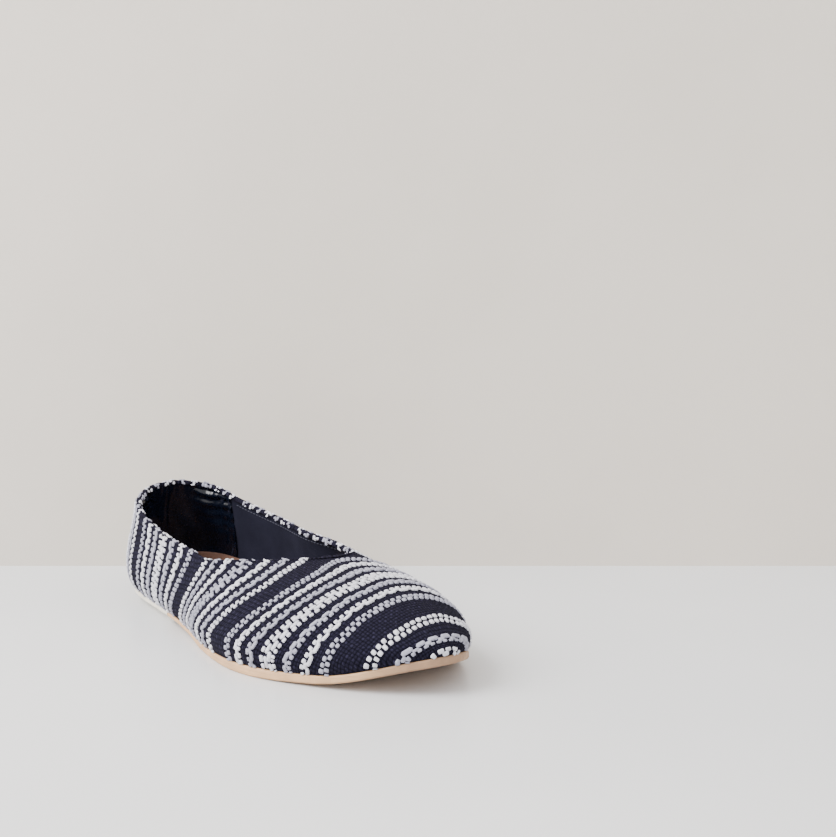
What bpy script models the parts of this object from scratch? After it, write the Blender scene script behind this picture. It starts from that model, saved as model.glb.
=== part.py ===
"""Woven cotton slip-on flat, right foot: upper shell, outsole, heel lift and insole.

Metres. +X runs from heel to toe, +Y to the inner side of the foot, +Z up, floor at Z = 0.
Every surface is laid on the same ribs: rib i starts on the outline of the last and climbs
towards a point of the centre line, so that the pieces follow one another all the way round.
"""

import math

import bmesh
import bpy
import numpy as np

# Driving sizes
LENGTH = 0.250
BALL_WIDTH = 0.0862
HEEL_TOP = 0.0587
INSTEP = 0.0455
SOLE_STACK = 0.0065
WALL = 0.0018
RIM_WALL = 0.0028
MARGIN_WIDTH = 0.009
MARGIN_THICK = 0.0012
INSOLE_THICK = 0.0020
LIFT_THICK = 0.0030
LIFT_INSET = 0.0035
SOLE_EXTENSION = 0.0006
GAP = 0.0003
BULGE = 0.0040
BULGE_HEIGHT = 0.013

RIBS_PER_SIDE = 56

# Outline of the last at the feather edge, walked round from the heel by the outer side:
# share of LENGTH, share of BALL_WIDTH
OUTLINE = (
    (0.000, 0.000), (0.055, -0.248), (0.138, -0.348), (0.250, -0.395), (0.380, -0.437), (0.470, -0.469),
    (0.550, -0.521), (0.620, -0.556), (0.700, -0.566), (0.770, -0.516), (0.845, -0.410), (0.950, -0.212),
    (1.000, 0.030), (0.962, 0.208), (0.885, 0.375), (0.759, 0.475), (0.678, 0.487), (0.460, 0.302),
    (0.342, 0.317), (0.136, 0.302), (0.045, 0.252),
)

# Height of the feather edge: share of LENGTH, share of SOLE_STACK
FEATHER = ((0.00, 1.00), (0.15, 0.91), (0.34, 0.88), (0.45, 0.60), (0.54, 0.47), (0.68, 0.60), (0.85, 0.76), (1.00, 2.30))

# Height of the closed dome above the feather edge line: share of LENGTH, share of INSTEP
RIDGE = ((0.00, 2.15), (0.20, 2.11), (0.35, 1.88), (0.50, 1.25), (0.62, 0.925), (0.75, 0.820), (0.88, 0.755), (1.00, 0.59))

# Height of the topline: share of LENGTH, share of HEEL_TOP outer side, share of HEEL_TOP inner side
TOPLINE = (
    (-0.02, 1.000, 1.000), (0.00, 0.972, 0.975), (0.03, 0.930, 0.948), (0.08, 0.854, 0.900), (0.15, 0.787, 0.835),
    (0.30, 0.692, 0.744), (0.42, 0.650, 0.702), (0.52, 0.604, 0.680), (0.60, 0.603, 0.655), (0.66, 0.625, 0.642),
    (0.74, 0.640, 0.640),
)

# Front of the foot opening in plan: a rounded point on the centre line
THROAT_START = 0.46
THROAT_END = 0.676
THROAT_OUTER_WIDTH = 0.51
THROAT_INNER_WIDTH = 0.45
THROAT_TAPER = 1.35
THROAT_ROUNDING = 0.003

# Underside of the outsole: share of LENGTH, height as a share of LIFT_THICK
UNDERSIDE = ((0.00, 1.10), (0.355, 1.10), (0.46, 0.42), (0.55, 0.00), (0.72, 0.00), (0.85, 0.45), (1.00, 3.75))

# Bulge of the wall beyond the feather edge: share of LENGTH, share of BULGE
BULGES = ((0.00, 1.10), (0.15, 1.00), (0.40, 0.87), (0.70, 0.57), (0.95, 0.60), (1.00, 0.38))

# Rows of points of the wall: heights over the feather edge at the bottom, then shares of the rest of the rib
LOW_ROWS = (0.0000, 0.0018, 0.0045)
WALL_ROWS = (0.07, 0.16, 0.27, 0.40, 0.53, 0.66, 0.79, 0.91, 1.00)

# Where ribs meet the centre line: the lines fan out beyond these shares of LENGTH
FAN_HEEL = 0.34
FAN_TOE = 0.60
SPINE_SWING = 0.07
ARCH_ACROSS = 2.21
ARCH_UP = 2.35
LIFT_SHARE = 0.335


def curve(table, share, column=1):
    """Values of a table at shares of LENGTH, smooth and without overshoot."""
    xs = np.array([row[0] for row in table], float)
    ys = np.array([row[column] for row in table], float)
    steps = np.diff(xs)
    slopes = np.diff(ys) / steps
    tangents = np.zeros(len(xs))
    tangents[0] = slopes[0]
    tangents[-1] = slopes[-1]
    for k in range(1, len(xs) - 1):
        if slopes[k - 1] * slopes[k] > 0.0:
            before = 2.0 * steps[k] + steps[k - 1]
            after = steps[k] + 2.0 * steps[k - 1]
            tangents[k] = (before + after) / (before / slopes[k - 1] + after / slopes[k])
    share = np.clip(share, xs[0], xs[-1])
    k = np.clip(np.searchsorted(xs, share, side="right") - 1, 0, len(xs) - 2)
    t = (share - xs[k]) / steps[k]
    rise = ys[k + 1] - ys[k]
    start = tangents[k] * steps[k]
    end = tangents[k + 1] * steps[k]
    return ys[k] + start * t + (3.0 * rise - 2.0 * start - end) * t**2 + (start + end - 2.0 * rise) * t**3


def closed_spline(points, count):
    """Cubic spline through a closed row of points, evenly sampled."""
    total = len(points)
    steps = np.linalg.norm(np.roll(points, -1, 0) - points, axis=1)
    system = np.zeros((total, total))
    target = np.zeros((total, 2))
    for k in range(total):
        ahead = (k + 1) % total
        system[k, k - 1] += steps[k - 1]
        system[k, k] += 2.0 * (steps[k - 1] + steps[k])
        system[k, ahead] += steps[k]
        target[k] = 6.0 * ((points[ahead] - points[k]) / steps[k] - (points[k] - points[k - 1]) / steps[k - 1])
    bend = np.linalg.solve(system, target)
    knots = np.concatenate([[0.0], np.cumsum(steps)])
    along = np.linspace(0.0, knots[-1], count, endpoint=False)
    k = np.clip(np.searchsorted(knots, along, side="right") - 1, 0, total - 1)
    a = (along - knots[k])[:, None]
    h = steps[k][:, None]
    b = h - a
    ahead = (k + 1) % total
    return ((bend[k] * b**3 + bend[ahead] * a**3) / (6.0 * h)
            + (points[k] / h - bend[k] * h / 6.0) * b
            + (points[ahead] / h - bend[ahead] * h / 6.0) * a)


def resampled(points, shares):
    """A row of points at the given shares of its length."""
    steps = np.linalg.norm(np.diff(points, axis=0), axis=1)
    along = np.concatenate([[0.0], np.cumsum(steps)])
    return np.column_stack([np.interp(shares * along[-1], along, points[:, axis]) for axis in range(2)])


def lay_ribs():
    """Foot of every rib on the outline and its end on the centre line, heel, outer side, toe, inner side."""
    dense = closed_spline(np.array(OUTLINE) * [LENGTH, BALL_WIDTH], 4000)
    heel = int(np.argmin(dense[:, 0]))
    dense = np.roll(dense, -heel, axis=0)
    toe = int(np.argmax(dense[:, 0]))
    even = np.linspace(0.0, 1.0, RIBS_PER_SIDE + 1)
    shares = even - 0.045 * np.sin(4.0 * math.pi * even) / 2.0
    outer = resampled(dense[:toe + 1], shares)
    inner = resampled(np.vstack([dense[toe:], dense[:1]])[::-1], shares)
    middle = (outer[:, 0] + inner[:, 0]) / 2.0
    front = np.clip((middle - FAN_TOE * LENGTH) / ((1.0 - FAN_TOE) * LENGTH), 0.0, 1.0)
    back = np.clip((FAN_HEEL * LENGTH - middle) / (FAN_HEEL * LENGTH), 0.0, 1.0)
    along = np.clip(middle, FAN_HEEL * LENGTH * (middle < FAN_HEEL * LENGTH), FAN_TOE * LENGTH)
    along = np.where(front > 0.0, FAN_TOE * LENGTH + (1.0 - FAN_TOE) * LENGTH * (front - front**2 / 2.0), along)
    along = np.where(back > 0.0, FAN_HEEL * LENGTH * (1.0 - back + back**2 / 2.0), along)
    spine = np.column_stack([along, SPINE_SWING * BALL_WIDTH * (along / LENGTH) ** 2])
    feet = np.vstack([outer, inner[-2:0:-1]])
    ends = np.vstack([spine, spine[-2:0:-1]])
    return feet, ends


FEET, ENDS = lay_ribs()
RIBS = len(FEET)
INNER_SIDE = np.arange(RIBS) > RIBS_PER_SIDE
INWARD = (ENDS - FEET) / np.linalg.norm(ENDS - FEET, axis=1)[:, None]
ALONG = np.roll(FEET, -1, axis=0) - np.roll(FEET, 1, axis=0)
OUTWARD = np.column_stack([-ALONG[:, 1], ALONG[:, 0]]) / np.linalg.norm(ALONG, axis=1)[:, None]
OUTWARD *= -np.sign(np.sum(OUTWARD * INWARD, axis=1))[:, None]


def opposite(rib):
    """The rib on the other side of the foot that ends at the same point of the centre line."""
    return (RIBS - rib) % RIBS


def feather_height(x):
    return curve(FEATHER, x / LENGTH) * SOLE_STACK


def wall_points(climb):
    """Outer face of the upper: one point a rib for a climb of 0 at the feather edge to 1 at the centre line."""
    angle = climb * math.pi / 2.0
    across = np.cos(angle) ** (2.0 / ARCH_ACROSS)
    up = np.sin(angle) ** (2.0 / ARCH_UP)
    plan = ENDS + (FEET - ENDS) * across[:, None]
    base = feather_height(plan[:, 0])
    rise = (curve(RIDGE, plan[:, 0] / LENGTH) * INSTEP - base) * up
    lift = rise / BULGE_HEIGHT
    swell = curve(BULGES, FEET[:, 0] / LENGTH) * BULGE * lift * np.exp(1.0 - lift) * np.minimum(1.0, across)
    plan = plan + OUTWARD * swell[:, None]
    return np.column_stack([plan, base + rise])


def climb_at(rise):
    """Climb of every rib at a height over the feather edge."""
    share = FEET[:, 0] / LENGTH
    room = curve(RIDGE, share) * INSTEP - feather_height(FEET[:, 0])
    return np.arcsin(np.clip(rise / room, 0.0, 1.0) ** (ARCH_UP / 2.0)) * 2.0 / math.pi


def within_opening(points):
    """Above zero for points in the foot opening: over the topline and, in front, between the throat's sides."""
    share = points[:, 0] / LENGTH
    top = np.where(INNER_SIDE, curve(TOPLINE, share, 2), curve(TOPLINE, share, 1)) * HEEL_TOP
    forward = np.clip((share - THROAT_START) / (THROAT_END - THROAT_START), 0.0, 1.0)
    half_width = np.where(INNER_SIDE, THROAT_INNER_WIDTH, THROAT_OUTER_WIDTH) * BALL_WIDTH
    half_width *= np.sqrt(1.0 - forward**THROAT_TAPER)
    side = np.abs(points[:, 1] - SPINE_SWING * BALL_WIDTH * share**2)
    over = points[:, 2] - top
    within = half_width - side
    return (over + within - np.sqrt((over - within) ** 2 + THROAT_ROUNDING**2)) / 2.0


def climb_limits():
    """How far each rib climbs: to the topline where it reaches the foot opening, else to the centre line."""
    samples = np.linspace(0.0, 1.0, 301)
    over = np.array([within_opening(wall_points(np.full(RIBS, climb))) for climb in samples])
    limits = np.ones(RIBS)
    for rib in range(RIBS):
        above = np.nonzero(over[:, rib] > 0.0)[0]
        if len(above):
            first = above[0]
            below = over[first - 1, rib]
            limits[rib] = samples[first - 1] + (samples[1] - samples[0]) * below / (below - over[first, rib])
    return limits


def sheet_normals(rows):
    """Smooth unit normals of a sheet of rows, with points that coincide sharing one."""
    rows = np.array(rows)
    total = np.zeros_like(rows)
    near = rows[:-1]
    far = rows[1:]
    near_next = np.roll(near, -1, axis=1)
    far_next = np.roll(far, -1, axis=1)
    first = np.cross(near_next - near, far - near)
    second = np.cross(far - far_next, near_next - far_next)
    total[:-1] += first
    total[:-1] += np.roll(first + second, 1, axis=1)
    total[1:] += first + second
    total[1:] += np.roll(second, 1, axis=1)
    keys = np.round(rows.reshape(-1, 3) / 1e-7).astype(np.int64)
    _, shared = np.unique(keys, axis=0, return_inverse=True)
    shared = shared.reshape(-1)
    flat = total.reshape(-1, 3)
    merged = np.zeros((shared.max() + 1, 3))
    np.add.at(merged, shared, flat)
    merged /= np.linalg.norm(merged, axis=1)[:, None]
    return merged[shared].reshape(rows.shape)


def finish_object(name, bm, colour, roughness):
    """Object of its own with a plain material from a mesh whose faces are in place."""
    bmesh.ops.remove_doubles(bm, verts=bm.verts, dist=1e-6)
    bmesh.ops.triangulate(bm, faces=bm.faces)
    bmesh.ops.recalc_face_normals(bm, faces=bm.faces)
    mesh = bpy.data.meshes.new(name)
    bm.to_mesh(mesh)
    bm.free()
    mesh.shade_smooth()
    mesh.set_sharp_from_angle(angle=math.radians(40.0))
    obj = bpy.data.objects.new(name, mesh)
    bpy.context.scene.collection.objects.link(obj)
    material = bpy.data.materials.new(name)
    material.use_nodes = True
    shader = material.node_tree.nodes["Principled BSDF"]
    shader.inputs["Base Color"].default_value = (*colour, 1.0)
    shader.inputs["Roughness"].default_value = roughness
    material.diffuse_color = (*colour, 1.0)
    mesh.materials.append(material)
    return obj


def ring_solid(name, rows, colour, roughness, looped=False, skipped=None):
    """Body of rows of points, one point a rib, that runs from row to row and all round the foot."""
    bm = bmesh.new()
    grid = [[bm.verts.new(point) for point in row] for row in rows]
    for k in range(len(rows) if looped else len(rows) - 1):
        above = (k + 1) % len(rows)
        for rib in range(RIBS):
            ahead = (rib + 1) % RIBS
            if skipped is not None and skipped(k, rib, ahead):
                continue
            bm.faces.new((grid[k][rib], grid[k][ahead], grid[above][ahead], grid[above][rib]))
    return finish_object(name, bm, colour, roughness)


def at_height(plan, height):
    return np.column_stack([plan, height])


def over_feather(plan, offset):
    """Points of a plan at a constant height over the feather surface."""
    return at_height(plan, feather_height(plan[:, 0]) + offset)


MARGIN_PLAN = FEET + INWARD * MARGIN_WIDTH
HALFWAY = (MARGIN_PLAN + ENDS) / 2.0


def build_upper():
    """Hollow shell with a rolled topline and a turned-in margin; gives back its inner face at the bottom."""
    limits = climb_limits()
    open_rib = limits < 1.0
    throat = int(np.nonzero(open_rib[:RIBS_PER_SIDE + 1] | open_rib[opposite(np.arange(RIBS_PER_SIDE + 1))])[0][-1]) + 1
    order = np.arange(RIBS)
    near_toe = np.minimum(order, opposite(order)) >= throat
    limits = np.where(near_toe, 1.0, limits)
    low = [climb_at(height) for height in LOW_ROWS]
    climbs = low + [low[-1] + (limits - low[-1]) * share for share in WALL_ROWS]
    face = [wall_points(climb) for climb in climbs]
    normals = sheet_normals(face)
    at_rim = np.minimum(order, opposite(order)) <= throat
    thick = [np.full(RIBS, WALL) for _ in climbs]
    thick[-1] = np.where(at_rim, RIM_WALL, WALL)
    thick[-2] = np.where(at_rim & ~near_toe, (RIM_WALL + WALL) / 2.0, WALL)
    outer = [row + side * ((wall - WALL) / 2.0)[:, None] for row, side, wall in zip(face, normals, thick)]
    inner = [row - side * ((wall + WALL) / 2.0)[:, None] for row, side, wall in zip(face, normals, thick)]
    loop = [rib for rib in order if not near_toe[rib] or rib == throat]
    edge = outer[-1][loop]
    tangent = np.roll(edge, -1, axis=0) - np.roll(edge, 1, axis=0)
    towards = np.cross(normals[-1][loop], tangent)
    towards /= np.linalg.norm(towards, axis=1)[:, None]
    direction = np.zeros((RIBS, 3))
    direction[loop] = towards
    direction[opposite(throat)] = direction[throat]
    middle = (outer[-1] + inner[-1]) / 2.0
    half = (outer[-1] - inner[-1]) / 2.0
    reach = np.linalg.norm(half, axis=1)[:, None]
    rim = []
    for turn in (45.0, 90.0, 135.0):
        angle = math.radians(turn)
        rim.append(middle + half * math.cos(angle) + direction * reach * math.sin(angle))
    corner = over_feather(inner[1][:, :2], MARGIN_THICK)
    rows = outer + rim + inner[:1:-1] + [corner, over_feather(MARGIN_PLAN, MARGIN_THICK), over_feather(MARGIN_PLAN, 0.0)]
    first_rim = len(outer) - 1
    last_rim = first_rim + len(rim)

    def skipped(k, rib, ahead):
        return first_rim <= k <= last_rim and near_toe[rib] and near_toe[ahead]

    ring_solid("upper", rows, (0.018, 0.020, 0.045), 0.85, looped=True, skipped=skipped)
    return corner, inner[2]


def build_outsole():
    """Sole from the heel seat through the raised waist to the sprung toe, thickest at the ball."""
    flare = FEET + OUTWARD * SOLE_EXTENSION
    top_edge = FEET + OUTWARD * (SOLE_EXTENSION - 0.0005)
    low_edge = FEET + OUTWARD * (SOLE_EXTENSION - 0.0006)

    def under(plan, offset=0.0):
        return at_height(plan, curve(UNDERSIDE, plan[:, 0] / LENGTH) * LIFT_THICK + offset)

    rows = [
        under(ENDS), under(HALFWAY), under(MARGIN_PLAN), under(low_edge), under(flare, 0.0006),
        over_feather(flare, -GAP - 0.0006), over_feather(top_edge, -GAP), over_feather(MARGIN_PLAN, -GAP),
        over_feather(HALFWAY, -GAP), over_feather(ENDS, -GAP),
    ]
    return ring_solid("outsole", rows, (0.56, 0.44, 0.34), 0.6)


def build_insole(corner, wall):
    """Insole that lies on the turned-in margin and fills the space between its edges."""
    edges = []
    for height in (MARGIN_THICK + GAP, MARGIN_THICK + GAP + INSOLE_THICK):
        base = feather_height(corner[:, 0]) + height
        share = ((base - corner[:, 2]) / (wall[:, 2] - corner[:, 2]))[:, None]
        plan = corner[:, :2] + (wall[:, :2] - corner[:, :2]) * share + INWARD * 0.0007
        edges.append(over_feather(plan, height))
    filler = FEET + INWARD * (MARGIN_WIDTH + 0.0005)
    top = MARGIN_THICK + GAP + INSOLE_THICK
    rows = [
        over_feather(ENDS, 0.0), over_feather(HALFWAY, 0.0), over_feather(filler, 0.0),
        over_feather(filler, MARGIN_THICK + GAP), edges[0], edges[1],
        over_feather(MARGIN_PLAN, top), over_feather(HALFWAY, top), over_feather(ENDS, top),
    ]
    return ring_solid("insole", rows, (0.33, 0.18, 0.10), 0.5)


def build_heel_lift():
    """Low heel block under the seat, with a straight breast across the foot."""
    breast = LIFT_SHARE * LENGTH
    outline = FEET - OUTWARD * LIFT_INSET
    behind = [rib for rib in range(RIBS) if outline[rib, 0] < breast]
    outer_side = max(rib for rib in behind if rib <= RIBS_PER_SIDE)
    inner_side = min(rib for rib in behind if rib > RIBS_PER_SIDE)

    def crossing(rib, ahead):
        share = (breast - outline[rib, 0]) / (outline[ahead, 0] - outline[rib, 0])
        return outline[rib] + (outline[ahead] - outline[rib]) * share

    plan = [crossing(inner_side, inner_side - 1)]
    plan += [outline[rib] for rib in range(inner_side, RIBS)]
    plan += [outline[rib] for rib in range(0, outer_side + 1)]
    plan.append(crossing(outer_side, outer_side + 1))
    plan = np.array(plan)
    centre = np.array([breast / 2.0, 0.0])
    bm = bmesh.new()
    levels = []
    for inset, height in ((0.0006, 0.0), (0.0, 0.0006), (0.0, LIFT_THICK)):
        inward = centre - plan
        inward /= np.linalg.norm(inward, axis=1)[:, None]
        levels.append([bm.verts.new((x, y, height)) for x, y in plan + inward * inset])
    bm.faces.new(levels[0][::-1])
    bm.faces.new(levels[-1])
    for low, high in zip(levels, levels[1:]):
        for k in range(len(plan)):
            ahead = (k + 1) % len(plan)
            bm.faces.new((low[k], low[ahead], high[ahead], high[k]))
    return finish_object("heel_lift", bm, (0.60, 0.52, 0.43), 0.6)


def centre_on_origin():
    """Middle of the whole shoe's footprint to the origin."""
    corners = np.array([vertex.co for obj in bpy.data.objects for vertex in obj.data.vertices])
    middle = (corners.min(axis=0) + corners.max(axis=0)) / 2.0
    for obj in bpy.data.objects:
        for vertex in obj.data.vertices:
            vertex.co.x -= middle[0]
            vertex.co.y -= middle[1]


def main():
    for obj in list(bpy.data.objects):
        bpy.data.objects.remove(obj, do_unlink=True)
    corner, wall = build_upper()
    build_outsole()
    build_insole(corner, wall)
    build_heel_lift()
    centre_on_origin()


main()
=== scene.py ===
import math

import bpy
import numpy as np
from mathutils import Matrix, Vector


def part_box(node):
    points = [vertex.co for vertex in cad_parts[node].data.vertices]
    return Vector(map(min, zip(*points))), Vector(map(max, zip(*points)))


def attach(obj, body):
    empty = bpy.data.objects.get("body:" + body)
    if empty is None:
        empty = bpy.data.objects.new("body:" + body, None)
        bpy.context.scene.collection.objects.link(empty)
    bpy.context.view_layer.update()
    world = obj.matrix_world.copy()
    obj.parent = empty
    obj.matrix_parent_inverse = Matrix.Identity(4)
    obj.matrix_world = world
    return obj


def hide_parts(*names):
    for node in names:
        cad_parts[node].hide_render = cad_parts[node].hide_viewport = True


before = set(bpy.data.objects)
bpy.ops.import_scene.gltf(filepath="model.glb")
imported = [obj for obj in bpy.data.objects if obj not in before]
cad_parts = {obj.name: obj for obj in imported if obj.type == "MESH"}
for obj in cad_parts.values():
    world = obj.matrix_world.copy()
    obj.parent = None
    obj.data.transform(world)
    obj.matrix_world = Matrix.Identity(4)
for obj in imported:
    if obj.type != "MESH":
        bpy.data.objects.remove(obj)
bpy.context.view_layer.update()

bl_info = {
    "name": "Woven Slip-on Flat",
    "version": (1, 0, 0),
    "blender": (4, 5, 0),
    "location": "3D View > Sidebar > Flat",
    "description": "Dresses the slip-on flat in striped cotton cloth, linings, seams and leather",
    "category": "Add Mesh",
}

# The last, in metres, heel tip at x = 0 and toe along +X: the shoe's own sizes
LENGTH = 0.250
BALL_WIDTH = 0.0862
HEEL_TOP = 0.0587
INSTEP = 0.0455
SOLE_STACK = 0.0065
BULGE = 0.0040
BULGE_HEIGHT = 0.013
OUTLINE = (
    (0.000, 0.000), (0.055, -0.248), (0.138, -0.348), (0.250, -0.395), (0.380, -0.437), (0.470, -0.469),
    (0.550, -0.521), (0.620, -0.556), (0.700, -0.566), (0.770, -0.516), (0.845, -0.410), (0.950, -0.212),
    (1.000, 0.030), (0.962, 0.208), (0.885, 0.375), (0.759, 0.475), (0.678, 0.487), (0.460, 0.302),
    (0.342, 0.317), (0.136, 0.302), (0.045, 0.252),
)
FEATHER = (
    (0.00, 1.00), (0.15, 0.91), (0.34, 0.88), (0.45, 0.60), (0.54, 0.47), (0.68, 0.60), (0.85, 0.76),
    (1.00, 2.30),
)
RIDGE = (
    (0.00, 2.15), (0.20, 2.11), (0.35, 1.88), (0.50, 1.25), (0.62, 0.925), (0.75, 0.820), (0.88, 0.755),
    (1.00, 0.59),
)
TOPLINE = (
    (-0.02, 1.000, 1.000), (0.00, 0.972, 0.975), (0.03, 0.930, 0.948), (0.08, 0.854, 0.900),
    (0.15, 0.787, 0.835), (0.30, 0.692, 0.744), (0.42, 0.650, 0.702), (0.52, 0.604, 0.680),
    (0.60, 0.603, 0.655), (0.66, 0.625, 0.642), (0.74, 0.640, 0.640),
)
THROAT_START = 0.46
THROAT_END = 0.676
THROAT_OUTER_WIDTH = 0.51
THROAT_INNER_WIDTH = 0.45
THROAT_TAPER = 1.35
THROAT_ROUNDING = 0.003
BULGES = ((0.00, 1.10), (0.15, 1.00), (0.40, 0.87), (0.70, 0.57), (0.95, 0.60), (1.00, 0.38))
FAN_HEEL = 0.34
FAN_TOE = 0.60
SPINE_SWING = 0.07
ARCH_ACROSS = 2.21
ARCH_UP = 2.35
# How far the sole stands out past the upper, and how high the insole's face is over the feather edge
SOLE_EDGE = 0.0006
INSOLE_TOP = 0.0036

# Angles round the foot turn about a line this far under the floor. Cloth round the foot is measured
# at a mean radius.
AXIS_DEPTH = 0.015
MEAN_RADIUS = 0.045

# Where the cloth's stripes lie on the shoe. Rows: place in the cloth from the toe in mm, then how far
# forward on the shoe in mm at each angle round the foot, outer side first. Angle 90 is the centre line.
CHART_ANGLES = (27, 36, 45, 54, 72, 90, 108, 126, 153)
CHART = (
    (-12.0, 252.0, 255.0, 258.0, 260.5, 264.0, 266.0, 264.0, 260.0, 253.5),
    (0.0, 241.8, 244.2, 246.8, 249.1, 252.1, 252.3, 249.8, 246.5, 241.7),
    (7.7, 232.6, 235.6, 239.8, 243.6, 247.0, 247.2, 245.2, 241.4, 235.4),
    (14.95, 228.6, 230.9, 234.0, 236.5, 237.7, 236.4, 235.6, 232.8, 228.7),
    (28.95, 216.0, 219.2, 221.1, 222.5, 223.3, 223.0, 222.6, 220.8, 215.1),
    (53.0, 195.1, 198.4, 201.2, 203.1, 203.2, 200.3, 200.3, 197.3, 192.3),
    (77.05, 172.2, 179.5, 183.6, 185.1, 182.1, 174.4, 174.6, 173.3, 169.6),
    (91.05, 154.3, 164.0, 169.9, 171.8, 167.7, 161.1, 159.5, 157.7, 155.9),
    (115.1, 127.5, 138.1, 145.9, 148.6, 146.0, 139.6, 134.4, 130.9, 130.6),
    (139.15, 107.3, 116.7, 123.9, 127.3, 124.0, 116.1, 108.6, 105.7, 105.4),
    (153.15, 92.0, 101.1, 108.9, 111.9, 109.0, 101.5, 95.2, 92.4, 91.5),
    (177.2, 71.2, 75.5, 78.4, 80.6, 79.9, 75.7, 71.8, 69.7, 68.0),
    (201.25, 47.0, 49.4, 50.4, 51.6, 51.7, 49.5, 46.8, 45.4, 44.3),
    (215.25, 34.0, 35.5, 36.5, 37.5, 37.0, 35.0, 33.0, 31.6, 31.0),
    (239.3, 10.0, 11.0, 12.0, 12.5, 12.0, 10.5, 9.0, 8.0, 7.5),
    (263.4, -14.0, -13.0, -12.0, -11.5, -12.0, -13.5, -15.0, -16.0, -16.5),
    (277.4, -27.0, -26.0, -25.0, -24.5, -25.0, -26.5, -28.0, -29.0, -29.5),
)


def curve(table, share, column=1):
    """Values of a table at shares of the length, smooth and without overshoot."""
    xs = np.array([row[0] for row in table], float)
    ys = np.array([row[column] for row in table], float)
    steps = np.diff(xs)
    slopes = np.diff(ys) / steps
    tangents = np.zeros(len(xs))
    tangents[0] = slopes[0]
    tangents[-1] = slopes[-1]
    for k in range(1, len(xs) - 1):
        if slopes[k - 1] * slopes[k] > 0.0:
            before = 2.0 * steps[k] + steps[k - 1]
            after = steps[k] + 2.0 * steps[k - 1]
            tangents[k] = (before + after) / (before / slopes[k - 1] + after / slopes[k])
    share = np.clip(share, xs[0], xs[-1])
    k = np.clip(np.searchsorted(xs, share, side="right") - 1, 0, len(xs) - 2)
    t = (share - xs[k]) / steps[k]
    rise = ys[k + 1] - ys[k]
    start = tangents[k] * steps[k]
    end = tangents[k + 1] * steps[k]
    return ys[k] + start * t + (3.0 * rise - 2.0 * start - end) * t**2 + (start + end - 2.0 * rise) * t**3


def closed_spline(points, count):
    """Cubic spline through a closed row of points, evenly sampled."""
    total = len(points)
    steps = np.linalg.norm(np.roll(points, -1, 0) - points, axis=1)
    system = np.zeros((total, total))
    target = np.zeros((total, 2))
    for k in range(total):
        ahead = (k + 1) % total
        system[k, k - 1] += steps[k - 1]
        system[k, k] += 2.0 * (steps[k - 1] + steps[k])
        system[k, ahead] += steps[k]
        leaving = (points[ahead] - points[k]) / steps[k]
        arriving = (points[k] - points[k - 1]) / steps[k - 1]
        target[k] = 6.0 * (leaving - arriving)
    bend = np.linalg.solve(system, target)
    knots = np.concatenate([[0.0], np.cumsum(steps)])
    along = np.linspace(0.0, knots[-1], count, endpoint=False)
    k = np.clip(np.searchsorted(knots, along, side="right") - 1, 0, total - 1)
    a = (along - knots[k])[:, None]
    h = steps[k][:, None]
    b = h - a
    ahead = (k + 1) % total
    return ((bend[k] * b**3 + bend[ahead] * a**3) / (6.0 * h)
            + (points[k] / h - bend[k] * h / 6.0) * b
            + (points[ahead] / h - bend[ahead] * h / 6.0) * a)


def distances(points):
    """How far along a row of points each one lies."""
    return np.concatenate([[0.0], np.cumsum(np.linalg.norm(np.diff(points, axis=0), axis=1))])


def resampled(points, shares):
    """A row of points at the given shares of its length."""
    along = distances(points)
    return np.column_stack([np.interp(shares * along[-1], along, points[:, axis]) for axis in range(2)])


def feather_height(x):
    return curve(FEATHER, x / LENGTH) * SOLE_STACK


def smooth_step(value, low, high):
    t = np.clip((value - low) / (high - low), 0.0, 1.0)
    return t * t * (3.0 - 2.0 * t)


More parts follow.
